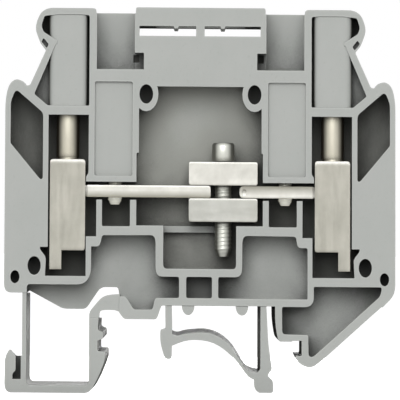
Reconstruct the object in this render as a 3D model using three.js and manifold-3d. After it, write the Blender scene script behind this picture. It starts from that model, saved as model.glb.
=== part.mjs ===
// A slide-link test disconnect terminal block for a 35 mm top-hat rail.
//
// Frame, in millimetres: +X runs along the block from the latch end to the hook end, +Y goes from
// the open side of the moulding to its closed side, and +Z points away from the rail.
// The origin lies on the seat beside the fixed hook, where the rail's flange rests, half way
// through the block's thickness. Everything is drawn about the rail's centre line, which is
// SEAT_X to the left of that origin, and the finished group is moved over at the end.
import * as THREE from "three";
import { mergeVertices } from "three/addons/utils/BufferGeometryUtils.js";
import Module from "manifold-3d";

const wasm = await Module();
wasm.setup();

// ---- driving dimensions ----
const LENGTH = 68.4; // along the block, wire entry to wire entry
const THICKNESS = 8.2; // pitch of the block along the rail
const WALL = 1; // closed side wall and outer walls
const GAP = 0.3; // clearance between pieces that touch on the real block
const INSET = 0.15; // the springy parts stay this far behind the open side
const HALF = LENGTH / 2;
const FRONT = -THICKNESS / 2; // open side
const BACK = THICKNESS / 2; // closed side
const FLOOR = BACK - WALL; // bottom of the deep chambers, seen from the open side
const SHALLOW = 1.4; // bottom of the shallow ones
const RECESS_FLOOR = 2.2; // bottom of the open recesses, behind the bridge shafts
const CELL_FLOOR = 0.2; // bottom of the small cell in the middle
const WEDGE_FLOOR = -1; // bottom of the wedge between tower and screw tube
const MID = (FRONT + FLOOR) / 2; // middle of the chambers, where all metal parts are centred
const CUT = FRONT - 1; // a cutter starts this far outside the open side
const SEAT_X = 15; // the rail seat that carries the origin

const TOP = 41; // top of the screw towers
const BLOCK_TOP = 41.15; // top of the middle block
const BLOCK_HALF = 11.4; // half width of the middle block
const RECESS_TOP = 40.4; // top of the closed wall between tower and middle block
const SHELF = 33.45; // floor of the open recess above the bridge shaft
const UNDERSIDE = 4.3; // lower edge of the moulding's body
const SIDE_BOTTOM = 5.75; // lower edge of the side blocks
const SEAT_END = 16.2; // the rail seat ends here, before the hook's slot
const NECK_END = 2.75; // where the latch hangs from its neck
const LATCH_BOTTOM = -6.5;

const TOWER_X = 23.2; // axis of the clamp screws
const TUBE_HALF = 3.4; // half width of the screw tube, which is square with round corners
const TUBE_BORE = 2.88; // driver access inside the tube
const TUBE_FLOOR = 28.9;
const TUBE_TOP = 40.2;
const CHAMBER_TOP = 27.75; // ceiling of the clamp chamber
const CHAMBER_FLOOR = 7.85;
const CHAMBER_OUT = 26.6; // outer and inner side of the clamp chamber
const CHAMBER_IN = 19.55;

const ENTRY_Z = 14.6; // axis of the wire funnel
const ENTRY_HOLE = 2.95;
const ENTRY_MOUTH = 3.25;
const SHAFT_X = 14.9; // axis of the bridge screws
const SHAFT_BORE = 2.6;

const SCREW_R = 2; // M4 clamp screw
const HEAD_R = 2.55;
const HEAD_H = 2.5;
const HEAD_Z = TUBE_FLOOR + GAP;

const CAGE_W = 6.2; // along X
const CAGE_T = 6.4; // along Y
const CAGE_TOP = 22.25;
const CAGE_BOTTOM = 11;
const CAGE_WALL = 0.8;
const LEG_BOTTOM = 8.65;
const LEG_TOP = 11.4;
const LEG_W = 2.1;
const WINDOW_TOP = 19.85; // the cage's thread sits above its window

const BAR_BOTTOM = 17.6;
const BAR_TOP = 19.1;
const BAR_T = 5.8; // width of the bars along Y
const TONGUE_T = 4.1; // narrower where a bar enters its clamp cage
const TONGUE_X = 19.75;
const BAR_GAP_LEFT = 1.87; // facing ends of the two bars
const BAR_GAP_RIGHT = 6.9;
const BAR_END = 25.85; // outer ends, inside the cages

const BRIDGE_R = 1.25; // M2.5 bridge screw, not screwed fully home
const BRIDGE_HEAD_Z = 20.2;

const LINK_X = 4.05; // the slide link at rest bridges the gap
const LINK_W = 12.05;
const LINK_T = 5.8;
const LINK_R = 1.5; // M3 link screw
const LINK_SLIDE = 8.5; // how far the link travels on to the left bar
const PLATE_TOP = [19.4, 22.05];
const PLATE_LOW = [14.65, 17.3];

// ---- materials ----
const polyamide = new THREE.MeshStandardMaterial({ color: 0xb2b6b2, roughness: 0.55, metalness: 0 });
const plated = new THREE.MeshStandardMaterial({ color: 0xc8c5b9, roughness: 0.5, metalness: 0.7 });
const tinned = new THREE.MeshStandardMaterial({ color: 0xe6e3d8, roughness: 0.35, metalness: 0.85 });
const zinc = new THREE.MeshStandardMaterial({ color: 0xd8d2bd, roughness: 0.3, metalness: 0.9 });

// ---- helpers ----
// A closed geometry as a solid that can be joined and cut.
function solid(geometry) {
  const bare = geometry.index ? geometry.toNonIndexed() : geometry.clone();
  bare.deleteAttribute("normal");
  bare.deleteAttribute("uv");
  const merged = mergeVertices(bare, 1e-4);
  return new wasm.Manifold(
    new wasm.Mesh({
      numProp: 3,
      vertProperties: merged.attributes.position.array,
      triVerts: new Uint32Array(merged.index.array),
    }),
  );
}

// A finished solid as a named mesh.
function piece(name, body, material) {
  const made = body.getMesh();
  const geometry = new THREE.BufferGeometry();
  geometry.setAttribute("position", new THREE.BufferAttribute(new Float32Array(made.vertProperties), 3));
  geometry.setIndex(new THREE.BufferAttribute(new Uint32Array(made.triVerts), 1));
  geometry.computeVertexNormals();
  const mesh = new THREE.Mesh(geometry, material.clone());
  mesh.name = name;
  return mesh;
}

// An outline through [x, z, radius] corners; a corner with a radius is drawn as a curve.
function outline(corners) {
  const shape = new THREE.Shape();
  const count = corners.length;
  corners.forEach(([x, z, radius = 0], i) => {
    const [px, pz] = corners[(i + count - 1) % count];
    const [nx, nz] = corners[(i + 1) % count];
    const before = Math.hypot(px - x, pz - z);
    const after = Math.hypot(nx - x, nz - z);
    const a = Math.min(radius, before / 2.1) / before;
    const b = Math.min(radius, after / 2.1) / after;
    const start = [x + (px - x) * a, z + (pz - z) * a];
    const end = [x + (nx - x) * b, z + (nz - z) * b];
    if (i === 0) shape.moveTo(...start);
    else shape.lineTo(...start);
    if (radius > 0) shape.quadraticCurveTo(x, z, ...end);
  });
  return shape;
}

// The outline as a plate between two Y planes. lean shifts its far side, as mould draft does.
function plate(corners, y0, y1, lean = [0, 0]) {
  const depth = y1 - y0;
  const geometry = new THREE.ExtrudeGeometry(outline(corners), {
    depth,
    bevelEnabled: false,
    curveSegments: 4,
  });
  const points = geometry.attributes.position;
  for (let i = 0; i < points.count; i++) {
    const far = 1 - points.getZ(i) / depth;
    points.setX(i, points.getX(i) + lean[0] * far);
    points.setY(i, points.getY(i) + lean[1] * far);
  }
  geometry.rotateX(Math.PI / 2);
  geometry.translate(0, y1, 0);
  return solid(geometry);
}

// A plate whose far side also spreads by lean, so that one flank carries draft.
function drafted(corners, y0, y1, lean) {
  return plate(corners, y0, y1).add(plate(corners, y0, y1, lean));
}

function box(x0, x1, y0, y1, z0, z1) {
  const geometry = new THREE.BoxGeometry(x1 - x0, y1 - y0, z1 - z0);
  geometry.translate((x0 + x1) / 2, (y0 + y1) / 2, (z0 + z1) / 2);
  return solid(geometry);
}

// A round pin along Z.
function post(x, y, z0, z1, radius, segments = 24) {
  const geometry = new THREE.CylinderGeometry(radius, radius, z1 - z0, segments);
  geometry.rotateX(Math.PI / 2);
  geometry.translate(x, y, (z0 + z1) / 2);
  return solid(geometry);
}

// A square pin along Z with rounded corners.
function squarePost(x, y, z0, z1, half, radius) {
  const corners = [
    [-half, -half, radius], [half, -half, radius], [half, half, radius], [-half, half, radius],
  ];
  const geometry = new THREE.ExtrudeGeometry(outline(corners), {
    depth: z1 - z0,
    bevelEnabled: false,
    curveSegments: 8,
  });
  geometry.translate(x, y, z0);
  return solid(geometry);
}

// A round pin along Y.
function dowel(x, z, y0, y1, radius, segments = 20) {
  const geometry = new THREE.CylinderGeometry(radius, radius, y1 - y0, segments);
  geometry.translate(x, (y0 + y1) / 2, z);
  return solid(geometry);
}

// A body of revolution about a Z axis, from [radius, z] points that start and end on the axis.
function turned(profile, x, y, segments = 24) {
  const points = profile.map(([r, z]) => new THREE.Vector2(r, z));
  const geometry = new THREE.LatheGeometry(points, segments);
  geometry.rotateX(Math.PI / 2);
  geometry.translate(x, y, 0);
  return solid(geometry);
}

const mirrored = (corners) => corners.map(([x, z, r]) => [-x, z, r]).reverse();
const both = (make) => make(-1).add(make(1));

// ---- housing ----
// The upper half of the moulding, left of the middle plane; the right half is its mirror image.
const LEFT_EDGE = [
  [-BLOCK_HALF, BLOCK_TOP, 0.35],
  [-BLOCK_HALF, RECESS_TOP],
  [-18.35, RECESS_TOP],
  [-18.35, TOP, 0.85],
  [-26.8, TOP, 0.9],
  [-28.2, 40.4, 0.8],
  [-29.15, 38.5, 0.9],
  [-28.1, 36.55, 0.3],
  [-27.15, 35.72, 0.2],
  [-29.9, 31.4, 0.2],
  [-30.5, 31.3, 0.2],
  [-30.95, 31.8, 0.3],
  [-32.4, 32.2, 0.9],
  [-33.65, 31.45, 0.9],
  [-HALF, 29.55, 1],
];

function body() {
  const corners = [
    ...LEFT_EDGE,
    [-HALF, SIDE_BOTTOM, 1.15],
    [-30.2, SIDE_BOTTOM],
    [-29.7, 6],
    [-23.85, 3.8, 0.6],
    [-19.85, 3.8, 0.6],
    [-17.3, 6.5, 0.8],
    [-14.25, 6.5, 0.4],
    [-14.05, 5.45],
    [-14.05, 3.4],
    [-13.2, 2.6, 0.5],
    [-7.5, 2.6, 0.4],
    [-6.65, UNDERSIDE, 0.2],
    [32, UNDERSIDE],
    [HALF, 5.9, 1.15],
    ...mirrored(LEFT_EDGE),
  ];
  return plate(corners, FRONT, BACK);
}

// The fixed hook that grips the right-hand flange, with the strut that carries it.
function hook() {
  const claw = drafted(
    [[13.2, 5.7], [13.75, 0, 0.85], [SEAT_END, 0], [SEAT_END, 0.1], [17.85, 0.1],
      [17.85, -1.75, 0.2], [16.7, -1.75, 0.2], [17.4, -2.75, 0.9], [19.55, -3.3, 1.5],
      [21.45, -2.25, 1.1], [HALF - 0.2, SIDE_BOTTOM, 1], [HALF - 0.2, 7.6]],
    FRONT, BACK, [-0.45, 0.45],
  );
  const strut = drafted(
    [[13.2, 5.7], [13.2, 2.3, 1.1], [13.75, 0, 0.85], [14.6, 0], [14.6, 5.7]],
    FRONT, BACK, [-0.65, 0.45],
  );
  return claw.add(strut);
}

// The moulded spring in the middle that presses into the rail's channel.
function middleFoot() {
  const y0 = FRONT + INSET;
  const y1 = BACK - GAP;
  const strut = plate(
    [[-6, 4.75], [-5.95, 1.5, 0.2], [-6.85, 1.4, 0.4], [-6.85, -0.3, 0.8], [-6, -2.25, 0.4],
      [-4.85, -2.25, 0.3], [-4.75, 1.5, 0.3], [-4.85, 4.75]],
    y0, y1,
  );
  const arch = drafted(
    [[-5.2, 0.95], [-4, 0.55, 0.6], [-2.45, 0.9, 1], [1.7, 1.15, 1.9], [5.2, -0.2, 1.9],
      [7.8, -3.3, 1.1], [8.95, -3.7, 0.5], [11, -3.9], [11, -4.85], [8.75, -4.6, 1],
      [6.1, -2, 1.9], [2.45, -0.05, 2.4], [-1.9, 0.2, 1.9], [-5.2, -0.75]],
    y0, y1, [0, 0.5],
  );
  const leg = drafted(
    [[10.65, 4.75], [10.65, -3.4], [11.9, -4.1], [12.7, -3.4, 0.3], [12.05, -0.5, 1], [11.65, 4.75]],
    y0, y1, [-0.55, 0],
  );
  const toe = plate(
    [[10.65, -3], [10.65, -3.4, 0.3], [9.5, -4.35], [9.6, -5.8, 0.4], [10.35, -6.3, 0.3],
      [12.9, -6.3, 0.4], [12.9, -4.85, 0.4], [11.9, -4.2, 0.3], [12.4, -3.6, 0.2], [12.4, -3]],
    y0, y1,
  );
  const bumps = [-2, 7.4].map((x) => dowel(x, UNDERSIDE - 0.05, y0, y1, 1.1));
  return bumps.reduce((sum, bump) => sum.add(bump), strut.add(arch).add(leg).add(toe));
}

// The springy neck from which the rail latch hangs.
function latchNeck() {
  return plate(
    [[-17.5, NECK_END], [-17.45, 3.7, 1.1], [-14.8, 3.7, 0.4], [-13.9, 3.45], [-13.9, 5.65],
      [-15.2, 5.62, 0.6], [-17, 5.4, 1.1], [-19.25, 3.5, 0.6], [-19.28, NECK_END]],
    FRONT + INSET, BACK - GAP,
  );
}

// Open chambers shared by both ends of the block, drawn for the left end, each with its depth.
const SIDE_POCKETS = [
  // the empty pocket in the corner of the side block
  [FLOOR, [[-32.4, 30.9, 0.7], [-33.25, 29.35, 0.5], [-33.25, 24.2, 0.2], [-27.95, 19.7, 0.4],
    [-27.55, 19.85, 0.2], [-27.55, 27.95, 0.5]]],
  // clamp chamber
  [FLOOR, [[-CHAMBER_OUT, CHAMBER_TOP], [-CHAMBER_OUT, 11.4], [-27.95, 11.4], [-27.95, 11.1, 0.3],
    [-26.9, 10.15, 0.4], [-27.05, CHAMBER_FLOOR, 0.1], [-19.95, CHAMBER_FLOOR],
    [-19.95, 20.15, 0.1], [-CHAMBER_IN, 20.6, 0.2], [-CHAMBER_IN, CHAMBER_TOP]]],
  // the bar's channel
  [FLOOR, [[-20.9, 19.5], [-20.9, 17.3], [-10.45, 17.3], [-10.45, 19.5]]],
  // open recess above the bridge shaft
  [RECESS_FLOOR, [[-18.2, 50], [-18.2, SHELF], [-11.55, SHELF], [-11.55, 50]]],
];

// Chambers of the middle and of the foot, each with its depth.
const POCKETS = [
  // where the link slides
  [FLOOR, [[-10.75, 31.35, 0.2], [-10.75, 23.1], [-11.15, 23.1, 0.2], [-11.15, 14.15], [11, 14.15],
    [11, 23.1, 0.2], [10.75, 23.1], [10.75, 31.35, 0.2]]],
  // room beside the cages, under the bars
  [FLOOR, [[-20.9, 17.55], [-20.9, 12.75], [-18.15, 12.75], [-18.15, 17.55]]],
  [FLOOR, [[17.95, 17.55], [17.95, 12.75], [19.7, 12.75], [19.7, CHAMBER_FLOOR],
    [20.9, CHAMBER_FLOOR], [20.9, 17.55]]],
  // square pockets under the bridge shafts
  [FLOOR, [[-17.15, 18.05], [-17.15, 14.03, 0.2], [-12.25, 14.03, 0.2], [-12.25, 18.05]]],
  [FLOOR, [[12.05, 18.05], [12.05, 14.05, 0.2], [16.95, 14.05, 0.2], [16.95, 18.05]]],
  // room for the link screw's tail
  [FLOOR, [[-6.4, 15.2], [-6.4, 8.85, 0.6], [6.35, 8.85, 0.6], [6.35, 15.2]]],
  // cell under it
  [CELL_FLOOR, [[-2.35, 7.85, 0.3], [-2.35, 5.25, 0.3], [2.15, 5.25, 0.3], [2.15, 7.85, 0.3]]],
  // left of the tail pocket, open at the bottom towards the latch
  [SHALLOW, [[-30.2, 6.8, 0.5], [-20.25, 6.8, 1.1], [-19, 8, 0.8], [-19, 11.5], [-17.5, 11.5, 0.6],
    [-17.1, 12.9, 0.4], [-7.75, 12.95, 0.9], [-7.7, 7.85, 1.1], [-3.6, 7.85, 0.3],
    [-3.6, 5.25, 0.3], [-7.8, 5.25, 0.4], [-8.2, 3.8, 0.4], [-11.5, 3.8, 0.4], [-12.9, 5.4, 0.4],
    [-17, 5.45], [-17, 1.9], [-30.2, 1.9]]],
  // right of the tail pocket
  [SHALLOW, [[3.25, 7.85, 0.3], [7.4, 7.85, 1.1], [7.45, 12.95, 0.9], [16.8, 12.9, 0.4],
    [17.1, 11.5, 0.6], [18.85, 11.5, 0.3], [18.85, 5.2, 0.2], [3.25, 5.25, 0.3]]],
  // inside the fixed hook
  [SHALLOW, [[14.4, 4.25, 0.3], [19.2, 4.25, 0.8], [19.95, 4.95, 0.4], [19.95, 6.75, 0.2],
    [31.9, 6.75, 0.4], [31.55, 5.65, 0.4], [19.85, -1.85, 0.3], [19.05, -1.8, 0.4],
    [19, 0.85, 0.3], [14.45, 0.9, 0.5]]],
];

// Everything a tower needs: its screw tube standing free in the hollow around it.
function towerHollow(side) {
  const hollow = [
    [[-21.85, TUBE_FLOOR], [-19.5, TUBE_FLOOR, 0.2], [-19.5, 40.1, 0.3], [-20.9, TUBE_TOP],
      [-21.85, TUBE_TOP]],
    [[-24.7, TUBE_TOP], [-27.45, 40, 0.3], [-28, 38.75, 0.4], [-27.55, 38, 0.2],
      [-25.45, 37.05, 0.2], [-24.7, 37.05]],
    [[-24.7, 36.7], [-25.45, 36.5], [-29.15, 30.3, 0.2], [-26.8, TUBE_FLOOR, 0.2],
      [-24.7, TUBE_FLOOR]],
    [[-25.2, TUBE_FLOOR], [-21.2, TUBE_FLOOR], [-21.2, TUBE_TOP], [-25.2, TUBE_TOP]],
  ];
  const floors = [FLOOR, FLOOR, WEDGE_FLOOR, MID];
  return hollow
    .map((corners, i) => plate(side < 0 ? corners : mirrored(corners), CUT, floors[i]))
    .reduce((sum, part) => sum.add(part))
    .subtract(squarePost(side * TOWER_X, MID, TUBE_FLOOR - 1, TOP, TUBE_HALF, 1.3));
}

// The small slot under the tower's bead, as a solid to be cut away.
function beadSlot(side) {
  const corners = [[-27.6, 37.25, 0.2], [-27.95, 36.77, 0.15], [-27.05, 36, 0.15], [-26.65, 36.45, 0.2]];
  return plate(side < 0 ? corners : mirrored(corners), CUT, FRONT + 1.1);
}

// The funnel that leads a wire to its clamp, as a solid to be cut away.
function wireFunnel(side) {
  const mouth = new THREE.CylinderGeometry(ENTRY_MOUTH, ENTRY_HOLE, 5.2, 28);
  mouth.rotateZ((side * -Math.PI) / 2);
  mouth.scale(1, 0.95, 1.35);
  mouth.translate(side * (HALF - 2.55), MID, ENTRY_Z);
  const hole = new THREE.CylinderGeometry(ENTRY_HOLE, ENTRY_HOLE, 6, 28);
  hole.rotateZ(Math.PI / 2);
  hole.translate(side * (HALF - 6.65), MID, ENTRY_Z);
  return solid(mouth).add(solid(hole));
}

// Driver access and thread clearances, as a solid to be cut away.
function shafts(side) {
  const x = side * TOWER_X;
  const s = side * SHAFT_X;
  return post(x, MID, TUBE_FLOOR, 50, TUBE_BORE, 28)
    .add(post(x, MID, CHAMBER_TOP - 1, TUBE_FLOOR + 1, SCREW_R + GAP))
    .add(post(s, MID, 19, 50, SHAFT_BORE));
}

// The notch in the middle block beside the open recess, with its deeper hole.
function sideNotch(side) {
  const wide = [[-12.35, SHELF], [-9.95, SHELF], [-9.95, 35.5], [-11.7, 35.5], [-12.35, 35.15]];
  const [x0, x1] = side < 0 ? [-11.8, -10.75] : [10.15, 11.1];
  return plate(side < 0 ? wide : mirrored(wide), CUT, 0.6).add(box(x0, x1, CUT, FLOOR, 34.3, 35.25));
}

// The two slots for marker strips, through both walls, each with a catch tooth.
function markerSlots() {
  const [low, tip, high] = [37.62, 38.58, 38.88];
  const slot = (x0, x1, tooth) =>
    plate(
      [[x0, low], [x1, low], [x1, high], [tooth + 0.45, high], [tooth + 0.3, tip],
        [tooth - 0.3, tip], [tooth - 0.45, high], [x0, high]],
      CUT, BACK + 1, [0, -0.38],
    ).intersect(box(x0, x1, CUT, BACK + 1, low, high));
  return slot(-10.75, -0.8, -4.3).add(slot(0.7, 10.55, 3.9));
}

function housing() {
  let shell = body().add(hook()).add(middleFoot());
  const open = [...POCKETS];
  SIDE_POCKETS.forEach(([depth, corners]) => open.push([depth, corners], [depth, mirrored(corners)]));
  open.forEach(([depth, corners]) => {
    shell = shell.subtract(plate(corners, CUT, depth));
  });
  shell = shell.subtract(both(towerHollow)).subtract(both(wireFunnel)).subtract(both(shafts));
  shell = shell.subtract(both(sideNotch)).subtract(markerSlots());
  // screwdriver slot above the slide link
  const slot = [[-7.8, 50], [-7.8, 30.4], [7.8, 30.4], [7.8, 50]];
  shell = shell.subtract(plate(slot, FRONT + WALL, FLOOR - WALL));
  // bosses around the dowel holes, and the ledge behind the link screw's tail
  shell = shell.add(both((side) => dowel(side * 9.5, 30.4, FRONT, BACK, 2.15)));
  shell = shell.add(box(-6.65, LINK_X, SHALLOW, BACK - 0.5, 13.3, 14.1));
  // recessed faces of the bridge shafts
  const panel = [[-18.5, 31.9, 0.3], [-18.5, 20.25, 0.3], [-11.9, 20.25, 0.3], [-11.9, 31.9, 0.3]];
  shell = shell.subtract(plate(panel, CUT, FRONT + 0.6));
  shell = shell.subtract(plate(mirrored(panel), CUT, FRONT + 0.6));
  // dowel holes on the open side and the dowels of the closed side that fit the next block
  [[9.5, 30.4, 1.2], [28.95, 9.1, 1.15]].forEach(([x, z, radius]) => {
    shell = shell.subtract(both((side) => dowel(side * x, z, CUT, FLOOR - 0.5, radius)));
    shell = shell.add(both((side) => dowel(side * x, z, FLOOR, BACK + 0.9, radius - 0.15)));
  });
  shell = shell.subtract(both((side) => dowel(side * 32.3, 7.7, CUT, FLOOR - 0.5, 0.8)));
  return shell.subtract(both(beadSlot)).add(latchNeck());
}

// ---- rail latch ----
// The springy loop at the left: strut, release pocket, bottom bar and toothed leg.
// It is one moulding with the housing; the two joins keep a gap so that the latch can move.
function railLatch() {
  const strutTop = SIDE_BOTTOM - GAP;
  const legTop = NECK_END - GAP;
  const loop = drafted(
    [[-30.98, strutTop], [-30.98, LATCH_BOTTOM], [-19.1, LATCH_BOTTOM, 0.95], [-17.6, -4.55, 0.95],
      [-16.45, -2.45, 0.6], [-16.5, -1.4, 0.2], [-17.8, -1.35, 0.2], [-17.8, -0.05, 0.2],
      [-16.8, 0.15, 0.3], [-16.85, 1, 0.2], [-17.8, 1.25, 0.4], [-17.65, legTop], [-19.28, legTop],
      [-19.28, -5.6, 0.7], [-30.25, -5.6, 0.7], [-30.25, strutTop]],
    FRONT + INSET, BACK - GAP, [0.65, 0.5],
  );
  const lip = plate(
    [[-30.6, -2], [-31.95, -2, 0.1], [-33.1, -1.15, 0.3], [-33.95, -2.2, 0.5],
      [-34, LATCH_BOTTOM, 1.15], [-30.6, LATCH_BOTTOM]],
    FRONT + INSET, BACK - GAP,
  );
  const pocket = plate(
    [[-32.05, -0.95], [-32.05, -3.8, 0.2], [-32.6, -4.2, 0.2], [-32.6, -4.85], [-31.15, -4.85],
      [-31.15, -0.95]],
    CUT, FLOOR - 1,
  );
  return loop
    .add(lip)
    .subtract(box(-32.5, -29, CUT, BACK, strutTop, SIDE_BOTTOM + 1))
    .subtract(box(-20.5, -16, CUT, BACK, legTop, SIDE_BOTTOM))
    .subtract(pocket);
}

// ---- metal parts ----
// The rising cage clamp: a window for the wire and the bar, a thread on top, an apron below.
function clampCage(side) {
  const x = side * TOWER_X;
  const half = CAGE_W / 2;
  const y0 = MID - CAGE_T / 2;
  const y1 = MID + CAGE_T / 2;
  const sleeve = plate(
    [[x - half, CAGE_BOTTOM, 0.4], [x + half, CAGE_BOTTOM, 0.4], [x + half, CAGE_TOP, 0.5],
      [x - half, CAGE_TOP, 0.5]],
    y0, y1,
  );
  const window = box(
    x - half - 1, x + half + 1, y0 + CAGE_WALL, y1 - CAGE_WALL, CAGE_BOTTOM + CAGE_WALL, WINDOW_TOP,
  );
  const outer = x + side * half;
  const inner = outer - side * LEG_W;
  const skin = outer - side * CAGE_WALL;
  const tab = box(
    Math.min(outer, inner), Math.max(outer, inner), y0, y0 + CAGE_WALL, LEG_BOTTOM, LEG_TOP,
  );
  const apron = box(Math.min(outer, skin), Math.max(outer, skin), y0, y1, LEG_BOTTOM, LEG_TOP);
  return sleeve
    .subtract(window)
    .add(tab)
    .add(apron)
    .subtract(post(x, MID, WINDOW_TOP - 1, CAGE_TOP + 1, SCREW_R + GAP));
}

// A slotted screw along Z: head on top, shank, and a tapered point.
function slottedScrew(x, [headZ, headR, headH, slotW], [r, pointR], tip) {
  const blank = turned(
    [[0, tip], [pointR, tip], [r, tip + (r - pointR)], [r, headZ], [headR, headZ],
      [headR, headZ + headH - 0.3], [headR - 0.35, headZ + headH], [0, headZ + headH]],
    x, MID,
  );
  const [y0, y1] = [MID - slotW / 2, MID + slotW / 2];
  return blank.subtract(box(x - headR, x + headR, y0, y1, headZ + headH * 0.5, TOP));
}

const clampScrew = (side) =>
  slottedScrew(side * TOWER_X, [HEAD_Z, HEAD_R, HEAD_H, 0.9], [SCREW_R, 1.5], BAR_TOP + GAP);
const bridgeScrew = (side) =>
  slottedScrew(side * SHAFT_X, [BRIDGE_HEAD_Z, 2.2, 1.9, 0.7], [BRIDGE_R, 0.7], 16.7);
const linkScrew = () =>
  slottedScrew(LINK_X, [PLATE_TOP[1] + GAP, 2, 2.1, 0.8], [LINK_R, 1], 10.35);

// A current bar: wide under the bridge shaft, narrow in its cage.
function busBar(side, innerEnd, round = [0.3, 0.5]) {
  const neck = side * TONGUE_X;
  const overlap = side * (TONGUE_X - 0.3);
  const outer = side * BAR_END;
  const bar = plate(
    [[neck, BAR_BOTTOM], [innerEnd, BAR_BOTTOM, round[0]], [innerEnd, BAR_TOP, round[1]], [neck, BAR_TOP]],
    MID - BAR_T / 2, MID + BAR_T / 2,
  );
  const tongue = box(
    Math.min(outer, overlap), Math.max(outer, overlap),
    MID - TONGUE_T / 2, MID + TONGUE_T / 2, BAR_BOTTOM + 0.05, BAR_TOP - 0.05,
  );
  return bar.add(tongue).subtract(post(side * SHAFT_X, MID, 16.5, 21, BRIDGE_R + GAP));
}

// The left bar also has the open slot along which the link screw travels.
function leftBar() {
  const slot = LINK_R + GAP;
  const end = LINK_X - LINK_SLIDE - 0.2;
  return busBar(-1, BAR_GAP_LEFT)
    .subtract(box(end, 5, MID - slot, MID + slot, 16.5, 21))
    .subtract(post(end, MID, 16.5, 21, slot));
}

// The right bar ends in a full round with a dimple in its edge.
function rightBar() {
  const front = MID - BAR_T / 2;
  return busBar(1, BAR_GAP_RIGHT, [0.7, 0.7])
    .subtract(dowel(BAR_GAP_RIGHT + 0.85, (BAR_BOTTOM + BAR_TOP) / 2, front - 1, front + 0.35, 0.32, 12));
}

function linkPlate([z0, z1]) {
  const x0 = LINK_X - LINK_W / 2;
  const x1 = LINK_X + LINK_W / 2;
  return plate(
    [[x0, z0, 0.4], [x1, z0, 0.4], [x1, z1, 0.35], [x0, z1, 0.35]],
    MID - LINK_T / 2, MID + LINK_T / 2,
  ).subtract(post(LINK_X, MID, z0 - 1, z1 + 1, LINK_R + GAP));
}

// ---- the assembly ----
const block = new THREE.Group();
block.add(piece("housing", housing(), polyamide));
block.add(piece("rail_latch", railLatch(), polyamide));
for (const [side, word] of [[-1, "left"], [1, "right"]]) {
  block.add(piece("clamp_cage_" + word, clampCage(side), plated));
  block.add(piece("clamp_screw_" + word, clampScrew(side), zinc));
  block.add(piece("bridge_screw_" + word, bridgeScrew(side), zinc));
}
block.add(piece("bus_bar_left", leftBar(), tinned));
block.add(piece("bus_bar_right", rightBar(), tinned));
block.add(piece("link_plate_upper", linkPlate(PLATE_TOP), tinned));
block.add(piece("link_plate_lower", linkPlate(PLATE_LOW), tinned));
block.add(piece("link_screw", linkScrew(), zinc));
block.position.x = -SEAT_X;

export default block;
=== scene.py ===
"""Looks for the slide-link disconnect terminal block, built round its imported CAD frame."""
import math

import bmesh
import bpy
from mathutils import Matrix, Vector

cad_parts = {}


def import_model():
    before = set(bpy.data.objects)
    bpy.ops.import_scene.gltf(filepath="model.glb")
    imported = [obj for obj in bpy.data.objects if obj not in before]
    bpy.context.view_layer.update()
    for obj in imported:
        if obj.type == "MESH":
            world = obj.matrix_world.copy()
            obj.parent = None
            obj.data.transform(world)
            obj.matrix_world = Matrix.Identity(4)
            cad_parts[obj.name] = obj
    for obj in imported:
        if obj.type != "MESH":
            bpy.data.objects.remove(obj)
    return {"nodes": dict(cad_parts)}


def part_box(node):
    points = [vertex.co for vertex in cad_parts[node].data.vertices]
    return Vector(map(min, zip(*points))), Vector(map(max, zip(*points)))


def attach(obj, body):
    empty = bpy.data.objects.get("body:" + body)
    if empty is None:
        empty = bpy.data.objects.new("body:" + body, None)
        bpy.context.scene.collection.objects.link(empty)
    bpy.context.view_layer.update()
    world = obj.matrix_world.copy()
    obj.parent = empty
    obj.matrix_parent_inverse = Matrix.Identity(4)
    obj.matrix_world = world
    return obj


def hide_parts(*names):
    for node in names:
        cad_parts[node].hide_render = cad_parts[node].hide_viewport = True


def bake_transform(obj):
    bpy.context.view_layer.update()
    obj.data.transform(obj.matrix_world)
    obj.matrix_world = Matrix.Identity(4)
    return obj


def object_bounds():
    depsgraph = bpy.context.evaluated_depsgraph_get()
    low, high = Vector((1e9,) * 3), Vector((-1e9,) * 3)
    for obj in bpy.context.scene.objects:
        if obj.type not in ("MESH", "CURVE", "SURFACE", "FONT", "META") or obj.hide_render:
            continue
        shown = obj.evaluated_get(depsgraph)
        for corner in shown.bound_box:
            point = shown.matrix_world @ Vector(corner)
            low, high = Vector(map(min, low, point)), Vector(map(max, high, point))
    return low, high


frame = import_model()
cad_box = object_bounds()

MM = 0.001
NODES = frame["nodes"]
RAIL_X = -15.0  # the rail's centre line, in mm
MID_Y = -0.5  # the plane in which all metal parts are centred, in mm

# colours, linear
POLYAMIDE_LIGHT, POLYAMIDE_DARK = (0.472, 0.485, 0.464, 1), (0.445, 0.460, 0.438, 1)
# the second colour here is a painted highlight for rounded edges
POLYAMIDE_SPECK, POLYAMIDE_EDGE_HIGHLIGHT = (0.39, 0.41, 0.38, 1), (0.66, 0.68, 0.65, 1)
# painted shade: the next two colours darken flanks and deep floors of the moulding
FLANK_SHADE, DEEP_SHADE = (0.30, 0.29, 0.27, 1), (0.74, 0.73, 0.70, 1)
CAGE_LIGHT, CAGE_DARK = (0.44, 0.425, 0.37, 1), (0.37, 0.36, 0.31, 1)
TIN_LIGHT, TIN_DARK = (0.66, 0.65, 0.60, 1), (0.54, 0.53, 0.48, 1)
# painted shade for the bus bars, darker towards one edge
TIN_LOW_SHADE, TIN_SHADED = (0.26, 0.25, 0.20, 1), (0.20, 0.19, 0.15, 1)
UPPER_LIGHT, UPPER_DARK = (0.62, 0.61, 0.56, 1), (0.50, 0.49, 0.445, 1)
# painted shade: the lower plate's colours are a darker copy of the upper plate's
LOWER_LIGHT, LOWER_DARK = (0.475, 0.475, 0.437, 1), (0.40, 0.40, 0.362, 1)
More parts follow.
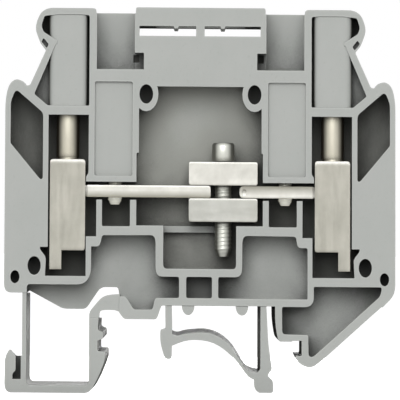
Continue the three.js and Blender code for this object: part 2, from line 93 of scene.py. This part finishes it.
# the side colours paint dark reflections on the screws' flanks
ZINC_LIGHT, ZINC_DARK, ZINC_SIDE = (0.86, 0.82, 0.68, 1), (0.78, 0.74, 0.61, 1), (0.05, 0.042, 0.03, 1)
BRIGHT_LIGHT, BRIGHT_DARK, BRIGHT_SIDE = (0.88, 0.89, 0.82, 1), (0.80, 0.81, 0.73, 1), (0.15, 0.15, 0.13, 1)
# painted light: the pale colours are lightened for screw tips in the bars' shadow
PALE_LIGHT, PALE_DARK, PALE_SIDE = (0.95, 0.94, 0.84, 1), (0.84, 0.83, 0.72, 1), (0.20, 0.19, 0.14, 1)
EDGE_LIT, EDGE_SHADED = (0.97, 0.96, 0.90, 1), (0.25, 0.24, 0.2, 1)

# how much of the moulding's colour is left at each openness: (openness, share left)
POCKET_SHADE = [
    (0.0, 0.30), (0.08, 0.28), (0.10, 0.11), (0.15, 0.32), (0.23, 0.18), (0.31, 0.82), (0.47, 0.86),
    (0.62, 0.95), (0.8, 1.0)]


# ---------------------------------------------------------------- materials
class Shader:
    """A small helper that adds and links nodes in one material."""

    def __init__(self, name):
        self.material = bpy.data.materials.new(name)
        self.material.use_nodes = True
        self.tree = self.material.node_tree
        self.bsdf = self.tree.nodes["Principled BSDF"]
        coords = self.tree.nodes.new("ShaderNodeTexCoord")
        self.coords = coords.outputs["Object"]

    def put(self, target, value):
        if isinstance(value, bpy.types.NodeSocket):
            self.tree.links.new(value, target)
        else:
            target.default_value = value

    def node(self, kind, inputs=None, **settings):
        made = self.tree.nodes.new(kind)
        for key, value in settings.items():
            setattr(made, key, value)
        for key, value in (inputs or {}).items():
            self.put(made.inputs[key], value)
        return made

    def noise(self, scale, detail=3.0, rough=0.55, stretch=(1, 1, 1)):
        mapped = self.node("ShaderNodeMapping", {"Vector": self.coords, "Scale": stretch})
        return self.node(
            "ShaderNodeTexNoise",
            {"Vector": mapped.outputs[0], "Scale": scale, "Detail": detail, "Roughness": rough},
        ).outputs["Fac"]

    def ramp(self, value, low, high, out_low, out_high):
        return self.node(
            "ShaderNodeMapRange",
            {"Value": value, "From Min": low, "From Max": high, "To Min": out_low, "To Max": out_high},
            clamp=True,
        ).outputs[0]

    def curve(self, value, points):
        """A value looked up on straight lines through (in, out) points."""
        made = self.node("ShaderNodeValToRGB", {"Fac": value})
        stops = made.color_ramp.elements
        while len(stops) < len(points):
            stops.new(0.5)
        for stop, (place, level) in zip(stops, points):
            stop.position = place
            stop.color = (level, level, level, 1)
        return made.outputs["Color"]

    def mix(self, factor, a, b, blend="MIX"):
        made = self.node("ShaderNodeMix", data_type="RGBA", blend_type=blend)
        self.put(made.inputs[0], factor)
        self.put(made.inputs[6], a)
        self.put(made.inputs[7], b)
        return made.outputs[2]

    def math(self, operation, a, b=0.0):
        made = self.node("ShaderNodeMath", operation=operation)
        self.put(made.inputs[0], a)
        self.put(made.inputs[1], b)
        return made.outputs[0]

    def edges(self, radius):
        """About 1 on rounded edges and 0 on flats."""
        rounded = self.node("ShaderNodeBevel", {"Radius": radius}, samples=4).outputs[0]
        flat = self.node("ShaderNodeNewGeometry").outputs["Normal"]
        dot = self.node("ShaderNodeVectorMath", operation="DOT_PRODUCT")
        self.put(dot.inputs[0], rounded)
        self.put(dot.inputs[1], flat)
        return self.ramp(dot.outputs["Value"], 0.995, 0.80, 0.0, 1.0)

    def openness(self, distance):
        """1 in the open, falling towards 0 deep inside a pocket."""
        return self.node(
            "ShaderNodeAmbientOcclusion", {"Distance": distance}, samples=8
        ).outputs["AO"]

    def axis(self, vector, letter):
        return self.node("ShaderNodeSeparateXYZ", {"Vector": vector}).outputs[letter]

    def facing_axis(self, letter):
        return self.axis(self.node("ShaderNodeNewGeometry").outputs["True Normal"], letter)

    def bump(self, height, strength, distance, normal=None):
        made = self.node("ShaderNodeBump", {"Height": height, "Strength": strength, "Distance": distance})
        if normal is not None:
            self.put(made.inputs["Normal"], normal)
        return made.outputs[0]


def polyamide():
    s = Shader("polyamide_light_grey")
    cloud = s.noise(180.0, 4.0)
    fine = s.noise(5200.0, 2.0, 0.6)
    base = s.mix(s.ramp(cloud, 0.35, 0.65, 0.0, 1.0), POLYAMIDE_DARK, POLYAMIDE_LIGHT)
    speck = s.ramp(s.noise(2600.0, 1.0), 0.66, 0.74, 0.0, 0.35)
    base = s.mix(speck, base, POLYAMIDE_SPECK)
    # painted highlight: the rounded edges of faces that look front or back are made lighter
    across = s.math("ABSOLUTE", s.facing_axis("Y"))
    broad = s.ramp(across, 0.4, 0.85, 0.0, 1.0)
    edge_highlight = s.math("MULTIPLY", s.math("MULTIPLY", s.edges(0.4 * MM), 0.5), broad)
    base = s.mix(edge_highlight, base, POLYAMIDE_EDGE_HIGHLIGHT)
    # painted shade on flanks inside the moulding, and on flanks with mould draft that don't look down
    enclosed = s.ramp(s.openness(16.0 * MM), 0.60, 0.96, 0.75, 0.0)
    not_down = s.ramp(s.facing_axis("Z"), -0.6, -0.1, 0.0, 1.0)
    drafted = s.math("MULTIPLY", s.ramp(across, 0.02, 0.04, 0.0, 0.42), not_down)
    flank_shade = s.math("MULTIPLY", s.math("SUBTRACT", 1.0, broad), s.math("MAXIMUM", enclosed, drafted))
    base = s.mix(flank_shade, base, FLANK_SHADE, "MULTIPLY")
    # painted shade in the chambers: little in the wide ones, more in the narrow and deep ones
    open_here = s.openness(8.0 * MM)
    base = s.mix(1.0, base, s.curve(open_here, POCKET_SHADE), "MULTIPLY")
    deep = s.ramp(s.axis(s.coords, "Y"), 2.4 * MM, 3.0 * MM, 0.0, 1.0)
    inside = s.ramp(open_here, 0.80, 0.95, 1.0, 0.0)
    base = s.mix(s.math("MULTIPLY", deep, inside), base, DEEP_SHADE, "MULTIPLY")
    s.put(s.bsdf.inputs["Base Color"], base)
    s.put(s.bsdf.inputs["Roughness"], s.ramp(cloud, 0.3, 0.7, 0.46, 0.60))
    gloss = s.math("MULTIPLY", s.ramp(flank_shade, 0.0, 0.25, 0.3, 0.015), s.ramp(open_here, 0.1, 0.5, 0.15, 1.0))
    s.put(s.bsdf.inputs["Specular IOR Level"], gloss)
    rounded = s.node("ShaderNodeBevel", {"Radius": 0.16 * MM}, samples=4).outputs[0]
    s.put(s.bsdf.inputs["Normal"], s.bump(fine, 0.3, 0.02 * MM, rounded))
    return s.material


def metal(name, light, dark, roughness, metallic, stretch, side=None, cover=False, fade=None,
          rim=0.45, lift=None):
    """A plated metal, with a painted highlight on edges that look up and painted shade on those that look
    down.

    side: (colour, start, end), painted reflection: turns round flanks to the colour between two facing
    values
    cover: paints the same dark colour, as painted shade, where another piece overhangs this one
    fade: (colour, z_shaded, z_lit), painted shade: turns the metal to the colour from one height to the
    other
    rim: the width of the painted lighter and darker edges, in mm
    lift: (strength, z_top), a painted glow: emission that brightens the metal below a height, in the shadow
    of another piece"""
    s = Shader(name)
    cloud = s.noise(420.0, 5.0)
    brushed = s.noise(1500.0, 4.0, 0.6, stretch)
    base = s.mix(s.ramp(cloud, 0.3, 0.7, 0.0, 1.0), dark, light)
    spots = s.ramp(s.noise(1900.0, 2.0), 0.62, 0.74, 0.0, 0.3)
    base = s.mix(spots, base, dark)
    soft = s.node("ShaderNodeBevel", {"Radius": rim * MM}, samples=8).outputs[0]
    # painted reflection: a light core and dark flanks by facing; with cover, painted shade where another
    # piece overhangs
    if side:
        colour, start, end = side
        level = s.node("ShaderNodeVectorMath", operation="MULTIPLY")
        s.put(level.inputs[0], soft)
        level.inputs[1].default_value = (1, 1, 0.3)
        level = s.node("ShaderNodeVectorMath", {"Vector": level.outputs[0]}, operation="NORMALIZE")
        facing = s.node(
            "ShaderNodeLayerWeight", {"Blend": 0.5, "Normal": level.outputs[0]}).outputs["Facing"]
        base = s.mix(s.ramp(facing, start, end, 0.0, 1.0), base, colour)
        if cover:
            base = s.mix(s.ramp(s.openness(1.5 * MM), 0.35, 0.75, 0.9, 0.0), base, colour)
    else:
        # painted highlight on edges that look up, painted shade on edges that look down
        tilt = s.axis(soft, "Z")
        base = s.mix(s.ramp(tilt, 0.10, 0.42, 0.0, 0.9), base, EDGE_LIT)
        base = s.mix(s.ramp(tilt, -0.5, -0.12, 0.5, 0.0), base, EDGE_SHADED)
    # painted shade: darker from one height to the other
    if fade:
        shade_colour, z_shaded, z_lit = fade
        base = s.mix(s.ramp(s.axis(s.coords, "Z"), z_shaded * MM, z_lit * MM, 1.0, 0.0), base, shade_colour)
    s.put(s.bsdf.inputs["Base Color"], base)
    # painted light: the part glows below a height
    if lift:
        strength, z_top = lift
        s.put(s.bsdf.inputs["Emission Color"], base)
        low = s.ramp(s.axis(s.coords, "Z"), z_top * MM, (z_top - 0.4) * MM, 0.0, strength)
        s.put(s.bsdf.inputs["Emission Strength"], low)
    s.put(s.bsdf.inputs["Metallic"], metallic)
    s.put(s.bsdf.inputs["Roughness"], s.ramp(brushed, 0.25, 0.75, roughness - 0.07, roughness + 0.09))
    rounded = s.node("ShaderNodeBevel", {"Radius": 0.1 * MM}, samples=4).outputs[0]
    s.put(s.bsdf.inputs["Normal"], s.bump(brushed, 0.25, 0.015 * MM, rounded))
    return s.material


ALONG_X, ALONG_Z, ALONG_SHANK = (0.12, 1, 1), (1, 1, 0.15), (1, 1, 0.3)  # brushing
GREY = polyamide()
CAGE_METAL = metal("plated_steel_matte", CAGE_LIGHT, CAGE_DARK, 0.5, 0.4, ALONG_Z, rim=0.9)
# one tinned copper for both bars, each with painted shade towards a different edge
LEFT_BAR = metal(
    "tinned_copper_left", TIN_LIGHT, TIN_DARK, 0.42, 0.35, ALONG_X, fade=(TIN_LOW_SHADE, 17.7, 18.5))
RIGHT_BAR = metal(
    "tinned_copper_right", TIN_LIGHT, TIN_DARK, 0.42, 0.35, ALONG_X, fade=(TIN_SHADED, 19.1, 17.95))
UPPER_PLATE = metal("tinned_copper", UPPER_LIGHT, UPPER_DARK, 0.42, 0.35, ALONG_X)
# the upper plate's metal made darker, as painted shade
LOWER_PLATE = metal("tinned_copper_shaded", LOWER_LIGHT, LOWER_DARK, 0.45, 0.35, ALONG_X)
CLAMP_SCREW = metal(
    "zinc_plated_steel", ZINC_LIGHT, ZINC_DARK, 0.44, 0.5, ALONG_SHANK,
    side=(ZINC_SIDE, 0.10, 0.42), cover=True)
SMALL_SCREW = metal(
    "zinc_plated_bright", BRIGHT_LIGHT, BRIGHT_DARK, 0.35, 0.3, ALONG_SHANK,
    side=(BRIGHT_SIDE, 0.06, 0.30), cover=True)
# lightened zinc with a painted glow below the bar, in the bar's shadow
BRIDGE_SCREW = metal(
    "zinc_plated_painted_glow", PALE_LIGHT, PALE_DARK, 0.35, 0.3, ALONG_SHANK,
    side=(PALE_SIDE, 0.35, 0.9), lift=(0.35, 18.0))


# ---------------------------------------------------------------- mesh helpers
def mesh_object(name, bm, material, smooth_angle=35.0):
    """A new object from a bmesh, with smooth faces and one material."""
    bmesh.ops.recalc_face_normals(bm, faces=bm.faces)
    data = bpy.data.meshes.new(name)
    bm.to_mesh(data)
    bm.free()
    made = bpy.data.objects.new(name, data)
    bpy.context.scene.collection.objects.link(made)
    data.materials.append(material)
    shade(made, smooth_angle)
    return made


def shade(obj, angle):
    """Smooth faces, with edges sharper than the angle kept sharp."""
    bm = bmesh.new()
    bm.from_mesh(obj.data)
    for face in bm.faces:
        face.smooth = True
    limit = math.radians(angle)
    for edge in bm.edges:
        edge.smooth = not (edge.is_manifold and edge.calc_face_angle(0.0) > limit)
    bm.to_mesh(obj.data)
    bm.free()


def bevel(obj, width):
    """Rounds the sharp edges to a width in mm."""
    made = obj.modifiers.new("edge_radius", "BEVEL")
    made.width = width * MM
    made.segments = 2
    made.limit_method = "ANGLE"
    made.angle_limit = math.radians(40)
    made.harden_normals = True
    made.use_clamp_overlap = True
    made.miter_outer = "MITER_ARC"


def applied(obj):
    """Replaces the object's mesh by the result of its modifiers."""
    depsgraph = bpy.context.evaluated_depsgraph_get()
    data = bpy.data.meshes.new_from_object(obj.evaluated_get(depsgraph))
    obj.modifiers.clear()
    obj.data = data


# ---------------------------------------------------------------- screws
SCREW_SIDES = 40  # corners of a ring
THREAD_STEPS = 8  # rings to a pitch
GROOVE = 0.42  # half the groove's width, as a share of the pitch
TIP_SHARE = 0.62  # the point's radius, as a share of the shank's
COLLAR = 0.12  # the collar under the head, and the rounding of the head's lower edge
CROWN, CROWN_RISE, CROWN_RUN, CROWN_STEPS = 0.42, 0.4, 0.45, 4  # the head's rounded top edge

# sizes in mm; seat is how much further down than its height the head reaches, on to its plate
M4 = {
    "pitch": 0.7, "thread_top": 22.6, "depth": 0.34, "taper": 0.9,
    "shank": 2.0, "head": 2.55, "head_h": 2.5, "seat": 0.0, "slot": 0.9}
M25 = {
    "pitch": 0.45, "thread_top": 19.9, "depth": 0.1, "taper": 0.6,
    "shank": 1.25, "head": 2.2, "head_h": 1.9, "seat": 0.0, "slot": 0.7}
M3 = {
    "pitch": 0.5, "thread_top": 21.8, "depth": 0.08, "taper": 0.9,
    "shank": 1.5, "head": 2.0, "head_h": 2.1, "seat": 0.27, "slot": 0.8}


def screw_rows(z0, z1, size):
    """The screw's profile from point to head: (height, radius, 1 on the thread and 0 above it)."""
    radius, head_r = size["shank"], size["head"]
    head_z = z1 - size["head_h"] - size["seat"]
    rows = []
    z = z0
    while z < size["thread_top"]:
        rows.append((z, radius, 1.0))
        z += size["pitch"] / THREAD_STEPS
    rows.append((size["thread_top"], radius, 0.0))
    rows.append((head_z - COLLAR, radius, 0.0))
    rows.append((head_z, radius + COLLAR, 0.0))
    rows.append((head_z + 0.02, head_r - COLLAR, 0.0))
    rows.append((head_z + 0.16, head_r, 0.0))
    rows.append((z1 - CROWN, head_r, 0.0))
    for k in range(1, CROWN_STEPS + 1):
        turn = k / CROWN_STEPS * math.pi / 2
        rise, run = CROWN_RISE * math.sin(turn), CROWN_RUN * (1 - math.cos(turn))
        rows.append((z1 - CROWN + rise, head_r - run, 0.0))
    return rows


def screw_ring(bm, x, z0, row, size):
    """One ring of vertices, with the thread's groove cut into its radius."""
    z, r, thread = row
    pitch = size["pitch"]
    fade = min(1.0, max(0.0, (size["thread_top"] - z) / pitch))
    tip = min(1.0, (z - z0) / size["taper"])
    ring = []
    for c in range(SCREW_SIDES):
        turn = c / SCREW_SIDES * 2 * math.pi
        phase = (z / pitch - c / SCREW_SIDES) % 1.0
        groove = max(0.0, 1.0 - abs(phase - 0.5) / GROOVE)
        here = r * (TIP_SHARE + (1 - TIP_SHARE) * tip)
        here -= thread * size["depth"] * groove * fade * tip
        place = ((x + here * math.cos(turn)) * MM, (MID_Y + here * math.sin(turn)) * MM, z * MM)
        ring.append(bm.verts.new(place))
    return ring


def cut_slot(obj, x, z1, size):
    """Cuts the screwdriver slot across the head; half of the cutter stands above it."""
    length, depth = size["head"] * 2.4, size["head_h"] * 1.1
    bm = bmesh.new()
    bmesh.ops.create_cube(bm, size=1.0)
    for v in bm.verts:
        v.co = Vector((
            (x + v.co.x * length) * MM, (MID_Y + v.co.y * size["slot"]) * MM, (z1 + v.co.z * depth) * MM))
    cutter = mesh_object("cutter", bm, obj.data.materials[0])
    cut = obj.modifiers.new("slot", "BOOLEAN")
    cut.operation = "DIFFERENCE"
    cut.solver = "EXACT"
    cut.object = cutter
    applied(obj)
    bpy.data.objects.remove(cutter)


def screw(name, node, material, size, body):
    """A slotted, threaded screw in the place of a plain CAD screw along Z."""
    low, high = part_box(node)
    x = (low.x + high.x) / 2 / MM
    z0, z1 = low.z / MM, high.z / MM
    bm = bmesh.new()
    rings = [screw_ring(bm, x, z0, row, size) for row in screw_rows(z0, z1, size)]
    for a, b in zip(rings, rings[1:]):
        for c in range(SCREW_SIDES):
            d = (c + 1) % SCREW_SIDES
            bm.faces.new((a[c], a[d], b[d], b[c]))
    bm.faces.new(list(reversed(rings[0])))
    bm.faces.new(rings[-1])
    made = mesh_object(name, bm, material, 50.0)
    cut_slot(made, x, z1, size)
    shade(made, 42.0)
    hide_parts(node)
    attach(made, body)


for word in ("left", "right"):
    screw("clamp_screw_threaded_" + word, "clamp_screw_" + word, CLAMP_SCREW, M4, "screw_" + word)
    screw("bridge_screw_threaded_" + word, "bridge_screw_" + word, BRIDGE_SCREW, M25, "bridge_" + word)
screw("link_screw_threaded", "link_screw", SMALL_SCREW, M3, "link_bolt")


# ---------------------------------------------------------------- rail latch
STRUT_TOP, NECK_TOP, GAP = 5.45, 2.45, 0.3  # the latch's upper ends and the CAD's gaps above them
STRUT_SIDE_X = RAIL_X - 25  # the strut lies on the far side of this, the neck on the near side
CUTS, CUT_LOW, CUT_STEP = 24, -3.2, 0.36  # level cuts that let the strips bend


def latch():
    """The latch as one moulding with its strut and neck: the CAD gaps close, and the strips are cut level
    by level so that they can bend.
    """
    bm = bmesh.new()
    bm.from_mesh(NODES["rail_latch"].data)
    bmesh.ops.remove_doubles(bm, verts=bm.verts, dist=0.001 * MM)
    for i in range(CUTS):
        z = (CUT_LOW + i * CUT_STEP) * MM
        bmesh.ops.bisect_plane(
            bm, geom=bm.verts[:] + bm.edges[:] + bm.faces[:], dist=1e-7,
            plane_co=(0, 0, z), plane_no=(0, 0, 1))
    for v in bm.verts:
        top = STRUT_TOP if v.co.x < STRUT_SIDE_X * MM else NECK_TOP
        if v.co.z > (top - 0.02) * MM:
            v.co.z += GAP * MM
    made = mesh_object("latch_moulding", bm, GREY, 38.0)
    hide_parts("rail_latch")
    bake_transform(made)


latch()


# ---------------------------------------------------------------- CAD nodes
def dress(name, material, width=None):
    """Gives a CAD node its material and, with a width in mm, rounded edges."""
    node = NODES[name]
    node.data.materials.clear()
    node.data.materials.append(material)
    if width:
        weld = node.modifiers.new("weld", "WELD")
        weld.merge_threshold = 0.002 * MM
        bevel(node, width)


dress("housing", GREY)
for word in ("left", "right"):
    dress("clamp_cage_" + word, CAGE_METAL, 0.12)
dress("bus_bar_left", LEFT_BAR, 0.2)
dress("bus_bar_right", RIGHT_BAR, 0.2)


# ---------------------------------------------------------------- link plates
REACH = 0.24  # how far a plate's face moves towards the bars, in mm
FACE_BAND = 0.6  # the depth of the face and its rounded edges, in mm


def link_plate(name, node, material, body, push):
    """A plate of the slide link, reaching down or up to the bars that it clamps."""
    bm = bmesh.new()
    bm.from_mesh(NODES[node].data)
    bmesh.ops.remove_doubles(bm, verts=bm.verts, dist=0.002 * MM)
    low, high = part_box(node)
    face = low.z if push < 0 else high.z
    for v in bm.verts:
        if abs(v.co.z - face) < FACE_BAND * MM:
            v.co.z += push * MM
    made = mesh_object(name, bm, material)
    bevel(made, 0.15)
    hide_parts(node)
    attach(made, body)


link_plate("link_plate_pressed_upper", "link_plate_upper", UPPER_PLATE, "link_upper", -REACH)
link_plate("link_plate_pressed_lower", "link_plate_lower", LOWER_PLATE, "link_lower", REACH)


# ---------------------------------------------------------------- floor, light, camera
def floor():
    """Pale floor that the camera sees nearly white, with the contact shadow kept faint."""
    s = Shader("floor_pale")
    tone = s.ramp(s.noise(3.0, 2.0), 0.3, 0.7, 0.92, 0.94)
    white = s.node("ShaderNodeCombineColor", {"Red": tone, "Green": tone, "Blue": tone}).outputs[0]
    s.put(s.bsdf.inputs["Base Color"], (0.5, 0.5, 0.5, 1))
    s.put(s.bsdf.inputs["Roughness"], 0.9)
    s.put(s.bsdf.inputs["Specular IOR Level"], 0.0)
    s.put(s.bsdf.inputs["Emission Color"], white)
    s.put(s.bsdf.inputs["Emission Strength"], s.node("ShaderNodeLightPath").outputs["Is Camera Ray"])
    bpy.ops.mesh.primitive_plane_add(size=30, location=(0, 0, cad_box[0].z - 0.02 * MM))
    plane = bpy.context.object
    plane.name = "floor"
    plane.data.materials.append(s.material)


def world():
    """White where the camera sees it, and a soft grey light on everything else."""
    made = bpy.data.worlds.new("studio")
    bpy.context.scene.world = made
    made.use_nodes = True
    nodes, links = made.node_tree.nodes, made.node_tree.links
    seen, lit = nodes["Background"], nodes.new("ShaderNodeBackground")
    seen.inputs[0].default_value = (1, 1, 1, 1)
    seen.inputs[1].default_value = 1.0
    lit.inputs[0].default_value = (1.0, 1.0, 0.99, 1)
    lit.inputs[1].default_value = 0.34
    path, mixer = nodes.new("ShaderNodeLightPath"), nodes.new("ShaderNodeMixShader")
    links.new(path.outputs["Is Camera Ray"], mixer.inputs[0])
    links.new(lit.outputs[0], mixer.inputs[1])
    links.new(seen.outputs[0], mixer.inputs[2])
    links.new(mixer.outputs[0], nodes["World Output"].inputs[0])


def softbox(name, location, size, watts):
    """A round lamp aimed at the middle of the block."""
    data = bpy.data.lights.new(name, "AREA")
    data.shape = "DISK"
    data.size = size
    data.energy = watts
    made = bpy.data.objects.new(name, data)
    bpy.context.scene.collection.objects.link(made)
    made.location = location
    made.visible_camera = False
    target = Vector((RAIL_X * MM, 0, 15 * MM))
    made.rotation_euler = (target - Vector(location)).to_track_quat("-Z", "Y").to_euler()


SQUEEZE = 1.4185  # how much the front picture is squeezed sideways
DISTANCE = 6.0  # from the camera to the block, in metres
FRAME_WIDTH = 70.07  # of the block's plane, in mm
MID_Z = 17.34  # the height that the camera looks at, in mm
ROLL = -0.34  # degrees
SENSOR = 36  # mm
FAR = 30.0  # metres, beyond everything on the floor
LEANING = 2.2  # a tilt in radians that only the leaning film plane reaches


def camera():
    """The picture is squeezed sideways, so this camera's film plane leans back by the angle that
    squeezes it as much, and its shift brings the block back to the middle. From any other angle
    the shift is off, and the camera is an ordinary long lens."""
    lean = math.acos(1 / SQUEEZE)
    data = bpy.data.cameras.new("camera")
    made = bpy.data.objects.new("camera", data)
    bpy.context.scene.collection.objects.link(made)
    bpy.context.scene.camera = made
    data.sensor_width = SENSOR
    data.lens = SENSOR * DISTANCE * math.cos(lean) / (FRAME_WIDTH * MM)
    made.rotation_mode = "XYZ"
    made.rotation_euler = (math.radians(90) + lean, math.radians(ROLL), 0)
    made.location = (RAIL_X * MM, -DISTANCE, MID_Z * MM)
    shift = data.driver_add("shift_y").driver
    shift.type = "SCRIPTED"
    variable = shift.variables.new()
    variable.name = "tilt"
    variable.type = "TRANSFORMS"
    target = variable.targets[0]
    target.id = made
    target.transform_type = "ROT_X"
    target.transform_space = "WORLD_SPACE"
    target.rotation_mode = "XYZ"
    shift.expression = f"{-math.tan(lean) * data.lens / SENSOR} if tilt > {LEANING} else 0.0"
    # a driver as well, so that the far limit stays when the camera is moved
    far = data.driver_add("clip_end").driver
    far.type = "SCRIPTED"
    far.expression = str(FAR)


floor()
world()
softbox("front", (-0.12, -1.25, 0.28), 1.0, 13.0)
softbox("back", (0.3, 1.25, 0.35), 1.0, 16.0)
softbox("top", (0.0, 0.0, 1.3), 0.8, 1.5)
camera()
bpy.context.scene.view_settings.view_transform = "Standard"
